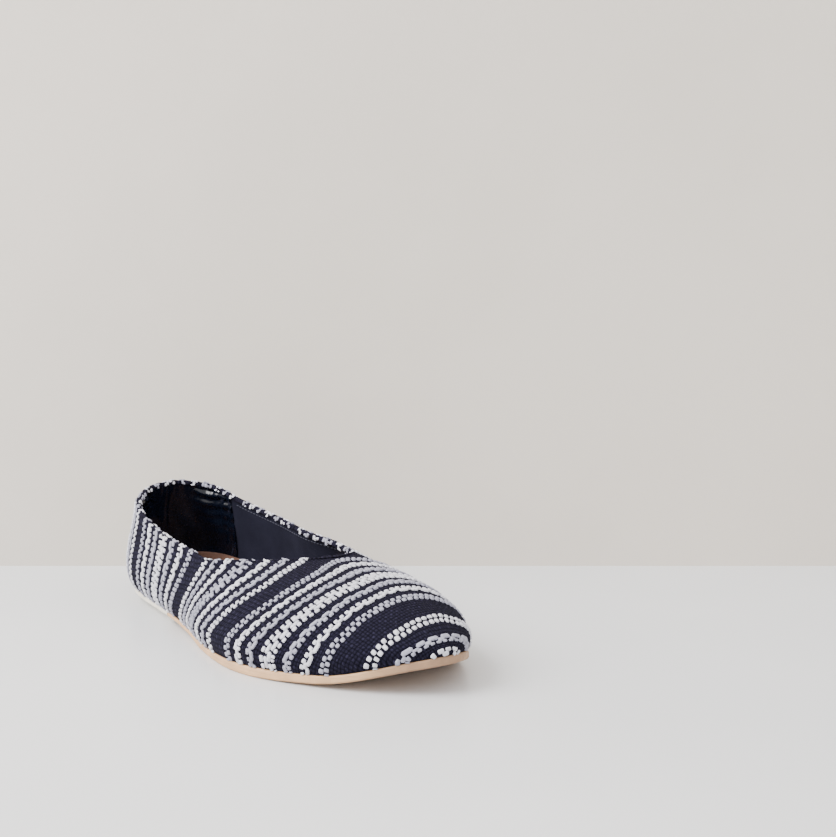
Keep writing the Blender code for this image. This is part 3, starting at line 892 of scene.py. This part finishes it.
def yarn_cotton(name, colour):
    """Thick soft cotton yarn: fine strands along each stitch, painted shade between them, a little uneven in
    colour.
    """
    finish = Finish(name, Specular_IOR_Level=0.2, Sheen_Weight=0.06, Sheen_Roughness=0.5)
    yarn = finish.node("ShaderNodeUVMap", {"uv_map": "yarn"})
    along, aside, _ = finish.parts(yarn)
    ripple = finish.noise(yarn, 700.0, 2.0, 0.5)
    strands = ((aside + along * 0.35) * (2.0 * math.pi / 0.00046) + ripple * 5.0).math("SINE") * 0.5 + 0.5
    fuzz = finish.streaks(yarn, (500.0, 4200.0, 1.0), 0.65)
    tone = finish.noise(finish.place(), 420.0, 2.0, 0.6)
    shade = finish.mix(tone.between(0.32, 0.60), shaded(colour, 0.78), colour)
    # Painted shade: the colour darkens in the grooves between the strands, where their bump is low.
    shade = finish.mix((1.0 - strands) * fuzz.between(0.3, 0.7, 0.25, 0.80), shade, shaded(colour, 0.42))
    normal = finish.bump(strands * 0.7 + fuzz * 0.6, 0.00035, 0.85)
    return finish.done(shade, 0.9, normal)


def navy_ground(sizes):
    """Plain navy cotton: fine threads over and under, painted shade in the low parts of the weave, paler
    flecks.
    """
    finish = Finish("navy_cotton", Specular_IOR_Level=0.02, Sheen_Weight=0.01, Sheen_Roughness=0.5)
    cloth = finish.node("ShaderNodeUVMap", {"uv_map": "cloth"})
    broad = finish.noise(cloth, 420.0, 3.0, 0.6)
    across, along, _ = finish.parts(cloth)
    weft = (across * (math.pi / 0.00140) + broad * 2.2).math("SINE")
    warp = (along * (math.pi / 0.00130) + broad * 2.2).math("SINE")
    over = weft * warp
    height = over.math("ABSOLUTE") ** 0.6
    raised = over.between(-0.30, 0.95)
    fibre = finish.streaks(cloth, (2600.0, 900.0, 1.0), 0.65)
    fleck = finish.noise(cloth, 480.0, 3.0, 0.6).between(0.42, 0.66)
    ground = tuple(sizes.ground_colour)
    pale = shaded(ground, 2.2)
    # Painted shade: the ground is darker in the low parts of the weave, between the threads.
    colour = finish.mix(height.between(0.15, 0.85), shaded(ground, 0.35), ground)
    colour = finish.mix(raised * fleck * 0.85, colour, pale)
    colour = finish.mix(fibre.between(0.62, 0.78) * 0.30, colour, pale)
    normal = finish.bump(height + fibre * 0.5, 0.00035, 0.9)
    return finish.done(colour, 0.95, normal)


def lining_cotton(sizes):
    finish = Finish("lining_cotton", Specular_IOR_Level=0.03, Sheen_Weight=0.01)
    place = finish.place()
    grain = finish.noise(place, 2200.0, 2.0, 0.6)
    patch = finish.noise(place, 60.0, 3.0, 0.55)
    twill = finish.bands(620.0, 3.0)
    colour = finish.mix(patch.between(0.3, 0.7), (0.0095, 0.0097, 0.0190), (0.0140, 0.0142, 0.0265))
    colour = finish.mix(twill * 0.35, colour, (0.0068, 0.0070, 0.0130))
    colour = finish.mix(grain.between(0.60, 0.74) * 0.4, colour, (0.034, 0.035, 0.051))
    return finish.done(colour, 0.9, finish.bump(grain + twill * 0.4 + patch * 2.0, 0.0002, 0.6))


def sewing_thread():
    finish = Finish("sewing_thread", Specular_IOR_Level=0.3)
    twist = finish.bands(1500.0)
    # Painted shade: the thread is darker in the grooves of its twist, where its bump is low.
    colour = finish.mix(twist, (0.018, 0.019, 0.032), (0.055, 0.057, 0.085))
    return finish.done(colour, 0.7, finish.bump(twist, 0.0001, 0.5))


def pocket_skin():
    """Smooth black coated lining of the heel, soft and wrinkled, with painted shade in the low parts of its
    folds.
    """
    finish = Finish("heel_pocket_lining", Specular_IOR_Level=0.15, Coat_Weight=0.4, Coat_Roughness=0.12)
    place = finish.place()
    fold = finish.noise(place, 90.0, 1.0, 0.4)
    # Painted shade: the black is a little darker where the folds' bump is low.
    colour = finish.mix(fold.between(0.3, 0.7), (0.0016, 0.0024, 0.0060), (0.0030, 0.0045, 0.0105))
    rough = finish.noise(place, 400.0).between(0.3, 0.7, 0.20, 0.34)
    return finish.done(colour, rough, finish.bump(fold, 0.0010, 0.5))


# Where the cream heel part of the sole ends, from the middle of the shoe
HEEL_END = -0.0375


def tan_edge(name, colour, heel=None):
    """Edge-trimmed sole board: layers along the edge, scuffs and a darker toe."""
    finish = Finish(name, Specular_IOR_Level=0.2)
    place = finish.place()
    x, _, _ = finish.parts(place)
    layers = finish.streaks(place, (60.0, 60.0, 2200.0), 0.6)
    mottle = finish.noise(place, 90.0, 4.0, 0.6)
    pores = finish.noise(place, 1400.0, 3.0, 0.7)
    dark = shaded(colour, 0.72)
    shade = finish.mix(mottle.between(0.35, 0.70), colour, shaded(colour, 1.22))
    shade = finish.mix(layers.between(0.50, 0.72) * 0.35, shade, dark)
    # The toe's tip is painted a darker brown in patches of the mottle.
    blotches = x.between(0.098, 0.123) * mottle.between(0.30, 0.60, 0.4, 1.0)
    shade = finish.mix(blotches * 0.75, shade, (0.20, 0.125, 0.085))
    scuff = finish.noise(place, 260.0, 4.0, 0.7).between(0.60, 0.75)
    shade = finish.mix(scuff * 0.35, shade, dark)
    if heel is not None:
        seat = finish.mix(mottle.between(0.3, 0.7), shaded(heel, 0.88), heel)
        seat = finish.mix(scuff * 0.4, seat, shaded(heel, 0.6))
        shade = finish.mix(x.between(HEEL_END + 0.0003, HEEL_END - 0.0003), shade, seat)
        joint = x.between(HEEL_END - 0.0006, HEEL_END - 0.0002) * x.between(HEEL_END + 0.0004, HEEL_END)
        shade = finish.mix(joint * 0.8, shade, (0.10, 0.085, 0.07))
    rough = mottle.between(0.3, 0.7, 0.45, 0.65)
    return finish.done(shade, rough, finish.bump(layers * 0.6 + pores * 0.4, 0.0002, 0.6))


def insole_leather(sizes):
    finish = Finish("insole_leather", Specular_IOR_Level=0.4)
    place = finish.place()
    cells = finish.node("ShaderNodeTexVoronoi", {"feature": "DISTANCE_TO_EDGE"}, Vector=place, Scale=900.0)
    broad = finish.noise(place, 35.0, 4.0, 0.6)
    blotches = finish.noise(place, 300.0, 3.0, 0.7).between(0.55, 0.75)
    colour = tuple(sizes.insole_colour)
    shade = finish.mix(broad.between(0.32, 0.68), shaded(colour, 0.62), colour)
    shade = finish.mix(blotches * 0.5, shade, shaded(colour, 1.35))
    rough = broad.between(0.3, 0.7, 0.42, 0.58)
    return finish.done(shade, rough, finish.bump(cells.between(0.0, 0.12) + broad, 0.00015, 0.55))


class FLAT_OT_upper(bpy.types.Operator):
    """Adds the outer cloth, rolled over the topline"""

    bl_idname = "flat.upper"
    bl_label = "Upper Cloth"

    def execute(self, context):
        sizes = context.scene.flat_sizes
        upper = Upper(sizes)
        round_foot = angle_round(upper.rows) * MEAN_RADIUS
        cloth = np.stack([round_foot, in_cloth(upper.rows) / 1000.0], axis=-1)
        obj = grid_piece("upper_cloth", upper.rows, cloth=cloth)
        face_out(obj, (0.05, 0.0, 0.02))
        apply_modifier(obj, "SOLIDIFY", "thickness", thickness=sizes.cloth_thickness, offset=-1.0)
        finish_piece(obj, navy_ground(sizes))
        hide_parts("upper")
        return {"FINISHED"}


class FLAT_OT_stripes(bpy.types.Operator):
    """Adds the stripes of thick white and grey yarn, stitch by stitch"""

    bl_idname = "flat.stripes"
    bl_label = "Woven Stripes"

    def execute(self, context):
        sizes = context.scene.flat_sizes
        contours = Contours(Upper(sizes))
        form = stitch_form()
        yarns = {"white": Stitches(form), "grey": Stitches(form)}
        chance = np.random.default_rng(7)
        pitch = sizes.pitch
        for group in range(GROUPS):
            for middle, kind, yarn in GROUP:
                stripe = FIRST_GROUP + group * GROUP_STEP + middle
                if stripe < FOREMOST:
                    continue
                target = yarns[GROUP_YARNS[(group + 1) % 2][yarn]]
                for aside, period, first, length, width, bow in weave_rows(kind, sizes):
                    for line, along in contours.rows(stripe, stripe + aside):
                        step = period * pitch
                        low = math.ceil((along[0] - pitch * 0.3) / step - first / period)
                        high = math.floor((along[-1] + pitch * 0.3) / step - first / period)
                        centres = (np.arange(low, high + 1) + first / period) * step
                        count = len(centres)
                        uneven = chance.normal(0.0, sizes.unevenness / 2.0, (4, count))
                        target.lay(
                            line, along, centres + uneven[0] * pitch * 0.5,
                            lengths=length * pitch * (1.0 + uneven[1]),
                            widths=width * 0.001 * (1.0 + uneven[2]),
                            heights=sizes.stitch_height * (1.0 + uneven[3] * 1.5),
                            aside=uneven[2] * 0.0006, chance=chance.uniform(0.0, 1.0, count), bow=bow * 0.001)
        for name, colour in (("white", sizes.white_colour), ("grey", sizes.grey_colour)):
            obj = yarns[name].piece(name + "_stitches")
            finish_piece(obj, yarn_cotton(name + "_yarn", tuple(colour)), 80.0)
        return {"FINISHED"}


# Depths of the heel pocket's short wrinkles under the topline and of its broad slack folds
WRINKLE_DEPTH = 0.0010
SLACK_DEPTH = 0.0006


class FLAT_OT_linings(bpy.types.Operator):
    """Adds the cotton lining and the smooth heel pocket"""

    bl_idname = "flat.linings"
    bl_label = "Linings"

    def execute(self, context):
        sizes = context.scene.flat_sizes
        upper = Upper(sizes)
        lining = grid_piece("lining", upper.inside(offset=0.0014, start=0.0011, rows=30))
        apply_modifier(lining, "SOLIDIFY", "thickness", thickness=0.0004, offset=0.0)
        finish_piece(lining, lining_cotton(sizes))
        rows = upper.inside(offset=0.0020, start=0.0016, rows=88)
        heel = np.nonzero(LAST.feet[:, 0] < sizes.pocket_length)[0]
        order = np.concatenate([heel[heel > LAST.per_side], heel[heel <= LAST.per_side]])
        depth = np.linalg.norm(rows - rows[0], axis=2)
        girth = np.where(LAST.inner_side, LAST.from_seam, -LAST.from_seam)[None, :]
        wave = np.sin(depth * 1150.0 + 1.4 * np.sin(girth * 190.0) + girth * 60.0) * np.exp(-depth / 0.010)
        wave = wave * smooth_step(np.abs(girth), 0.008, 0.026) * smooth_step(depth, 0.0, 0.0018)
        slack = np.sin(girth * 410.0 + 2.0 * np.sin(depth * 160.0)) * smooth_step(depth, 0.002, 0.012) * 0.5
        at_corner = np.exp(-((np.abs(girth) - 0.040) / 0.006) ** 2)
        slack = slack + np.sin(girth * 900.0 + depth * 300.0) * at_corner * 0.8
        folds = wave * WRINKLE_DEPTH + slack * SLACK_DEPTH
        rows = rows - sheet_normals(rows) * folds[..., None]
        pocket = grid_piece("heel_pocket", rows[:, order], looped_across=False)
        apply_modifier(pocket, "SOLIDIFY", "thickness", thickness=0.0005, offset=0.0)
        finish_piece(pocket, pocket_skin())
        sewn = rows[4:-2]
        inward = -sheet_normals(rows)[4:-2]
        edges = [(sewn[:, rib] + inward[:, rib] * 0.0004, inward[:, rib]) for rib in (order[1], order[-2])]
        thread = sewing_thread()
        seam_stitches("pocket_seam", edges, thread, length=0.0016, step=0.0024, width=0.0005)
        rim = upper.inside(offset=0.0017, start=0.0036, rows=30)
        facing = -sheet_normals(rim)
        hemmed = ~upper.closed & (LAST.feet[:, 0] > sizes.pocket_length + 0.002)
        ring = np.concatenate([np.nonzero(hemmed & side)[0] for side in (~LAST.inner_side, LAST.inner_side)])
        edge = (rim[0, ring], facing[0, ring])
        seam_stitches("topline_seam", [edge], thread, length=0.0019, step=0.0027, width=0.0005)
        return {"FINISHED"}


class FLAT_OT_sole(bpy.types.Operator):
    """Finishes the insole, sole and heel"""

    bl_idname = "flat.sole"
    bl_label = "Sole and Insole"

    def execute(self, context):
        sizes = context.scene.flat_sizes
        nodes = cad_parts
        dress(nodes["outsole"], tan_edge("sole_edge", tuple(sizes.sole_colour), tuple(sizes.heel_colour)))
        dress(nodes["heel_lift"], tan_edge("heel_block", tuple(sizes.heel_colour)))
        leather = insole_leather(sizes)
        dress(nodes["insole"], leather)
        finish_piece(grid_piece("insole_sock", sock_rows(sizes)), leather)
        return {"FINISHED"}


# Widths of floor and wall, and of the soft light with its place to the right, back and up
PLANE_SIZE = 6.0
WINDOW_SIZE = 1.3
WINDOW_PLACE = (-1.3, 0.35, 1.25)


def plane(name):
    deselect()
    bpy.ops.mesh.primitive_plane_add(size=PLANE_SIZE)
    obj = bpy.context.active_object
    obj.name = name
    return obj


class FLAT_OT_stage(bpy.types.Operator):
    """Adds the floor, the wall, the lights and the camera"""

    bl_idname = "flat.stage"
    bl_label = "Stage"

    def execute(self, context):
        sizes = context.scene.flat_stage
        flat = math.cos(sizes.height_angle)
        back = (math.sin(sizes.turn) * flat, -math.cos(sizes.turn) * flat, math.sin(sizes.height_angle))
        back = Vector(back)
        right = Vector((math.cos(sizes.turn), math.sin(sizes.turn), 0.0))
        up = back.cross(right)
        eye = Vector(sizes.eye) + Vector(SHIFT)
        deselect()
        bpy.ops.object.camera_add(location=eye)
        camera = bpy.context.active_object
        camera.matrix_world = Matrix.Translation(eye) @ Matrix((right, up, back)).transposed().to_4x4()
        camera.data.lens = sizes.lens
        camera.data.sensor_width = 36.0
        camera.data.sensor_fit = "HORIZONTAL"
        camera.data.clip_start = 0.01
        context.scene.camera = camera
        level = Vector((-back.x, -back.y, 0.0)).normalized()
        foot = Vector((eye.x, eye.y, 0.0)) + level * sizes.wall_distance
        floor = plane("floor")
        finish = Finish("floor_paint", Specular_IOR_Level=0.4)
        place = finish.place()
        tone = finish.noise(place, 3.0, 3.0, 0.5)
        colour = finish.mix(tone.between(0.3, 0.7), (0.60, 0.615, 0.64), (0.66, 0.67, 0.69))
        dress(floor, finish.done(colour, 0.32, finish.bump(finish.noise(place, 400.0, 3.0), 0.0002, 0.15)))
        wall = plane("wall")
        upright = Matrix((right, Vector((0.0, 0.0, 1.0)), -level)).transposed().to_4x4()
        wall.data.transform(Matrix.Translation(foot) @ upright)
        finish = Finish("wall_plaster", Specular_IOR_Level=0.2)
        place = finish.place()
        patch = finish.noise(place, 5.0, 4.0, 0.6)
        speck = finish.noise(place, 240.0, 4.0, 0.7)
        colour = finish.mix(patch.between(0.35, 0.65), (0.605, 0.556, 0.496), (0.637, 0.586, 0.525))
        colour = finish.mix(speck.between(0.62, 0.75) * 0.12, colour, (0.48, 0.45, 0.41))
        dress(wall, finish.done(colour, 0.85, finish.bump(speck, 0.0004, 0.3)))
        deselect()
        aside, behind, above = WINDOW_PLACE
        window = right * aside + back * behind + Vector((0.0, 0.0, above))
        bpy.ops.object.light_add(type="AREA", location=window)
        light = bpy.context.active_object
        light.name = "window"
        light.data.shape = "SQUARE"
        light.data.size = WINDOW_SIZE
        light.data.energy = sizes.window_power
        light.data.color = (1.0, 0.99, 0.97)
        light.rotation_euler = window.to_track_quat("Z", "Y").to_euler()
        world = bpy.data.worlds.new("soft_room")
        world.use_nodes = True
        room = world.node_tree.nodes["Background"]
        room.inputs["Color"].default_value = (1.0, 0.985, 0.975, 1.0)
        room.inputs["Strength"].default_value = sizes.fill_strength
        context.scene.world = world
        return {"FINISHED"}


class FLAT_PT_panel(bpy.types.Panel):
    """Lists the steps that dress the shoe"""

    bl_label = "Flat"
    bl_idname = "FLAT_PT_panel"
    bl_space_type = "VIEW_3D"
    bl_region_type = "UI"
    bl_category = "Flat"

    def draw(self, context):
        for group in (context.scene.flat_sizes, context.scene.flat_stage):
            column = self.layout.column(align=True)
            for key in group.__annotations__:
                column.prop(group, key)
        for step in STEPS:
            self.layout.operator(step.bl_idname)


STEPS = (FLAT_OT_upper, FLAT_OT_stripes, FLAT_OT_linings, FLAT_OT_sole, FLAT_OT_stage)
CLASSES = (FlatSizes, StageSizes, *STEPS, FLAT_PT_panel)


def register():
    for cls in CLASSES:
        bpy.utils.register_class(cls)
    bpy.types.Scene.flat_sizes = bpy.props.PointerProperty(type=FlatSizes)
    bpy.types.Scene.flat_stage = bpy.props.PointerProperty(type=StageSizes)


def unregister():
    del bpy.types.Scene.flat_stage
    del bpy.types.Scene.flat_sizes
    for cls in reversed(CLASSES):
        bpy.utils.unregister_class(cls)


def main():
    register()
    for step in STEPS:
        group, name = step.bl_idname.split(".")
        getattr(getattr(bpy.ops, group), name)()


if __name__ == "__main__":
    main()
